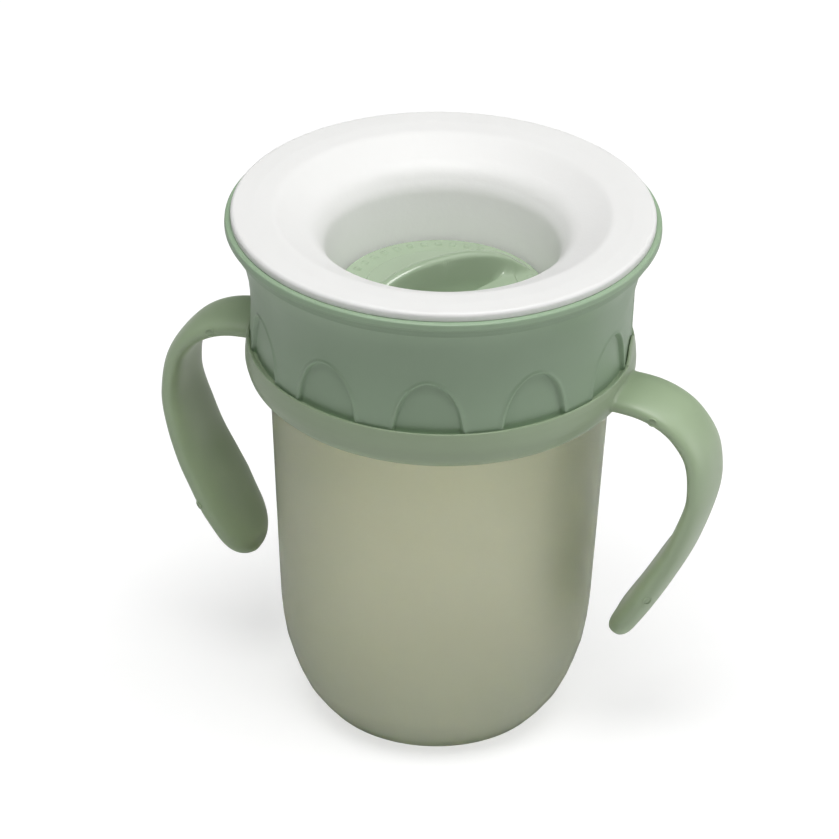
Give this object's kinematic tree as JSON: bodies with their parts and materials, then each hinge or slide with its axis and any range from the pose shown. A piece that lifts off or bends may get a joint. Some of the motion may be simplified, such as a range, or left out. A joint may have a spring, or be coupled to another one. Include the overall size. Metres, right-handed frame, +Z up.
{
  "type": "sippy cup",
  "caption": "Two-handled toddler training cup with a removable handle ring, a screw-on collar and a white silicone rim that is drunk from all the way round.",
  "frame": {"origin": "on the table under the middle of the cup, in the plane of the foot", "axes": "+Z up along the cup's axis, +X along the two handles, +Y across them"},
  "size_m": [0.1174, 0.0864, 0.113],
  "materials": {
    "cup": "frosted translucent sage polypropylene",
    "handles": "smooth satin sage polypropylene",
    "collar": "satin sage polypropylene",
    "seal": "soft white silicone",
    "rim": "soft matt white silicone",
    "plug": "glossy sage polypropylene"
  },
  "bodies": {
    "cup": {"cup_body": "cup"},
    "handles": {"handle_ring": "handles"},
    "seal": {"collar_seal": "seal"},
    "collar": {"collar": "collar"},
    "rim": {"drinking_rim": "rim"},
    "plug": {"twist_plug": "plug"}
  },
  "joints": [
    {"name": "lid_rise", "type": "slide", "parent": "cup", "child": "seal", "axis": [0, 0, 1], "range_m": [0, 0.0101]},
    {"name": "collar_turn", "type": "hinge", "parent": "seal", "child": "collar", "pos_m": [0, 0, 0.09], "axis": [0, 0, 1], "range_deg": [0, 300]},
    {"name": "handle_lift", "type": "slide", "parent": "cup", "child": "handles", "axis": [0, 0, 1], "range_m": [0, 0.0099]},
    {"name": "rim_rise", "type": "slide", "parent": "collar", "child": "rim", "axis": [0, 0, 1], "range_m": [0, 0.0061]},
    {"name": "plug_turn", "type": "hinge", "parent": "rim", "child": "plug", "pos_m": [0, 0, 0.09], "axis": [0, 0, 1], "range_deg": [0, 270]}
  ],
  "couplings": [
    {"joint": "lid_rise", "follows": "collar_turn", "m_per_rad": 0.0019099},
    {"joint": "handle_lift", "follows": "collar_turn", "m_per_rad": 0.0018717},
    {"joint": "rim_rise", "follows": "plug_turn", "m_per_rad": 0.0012732}
  ]
}
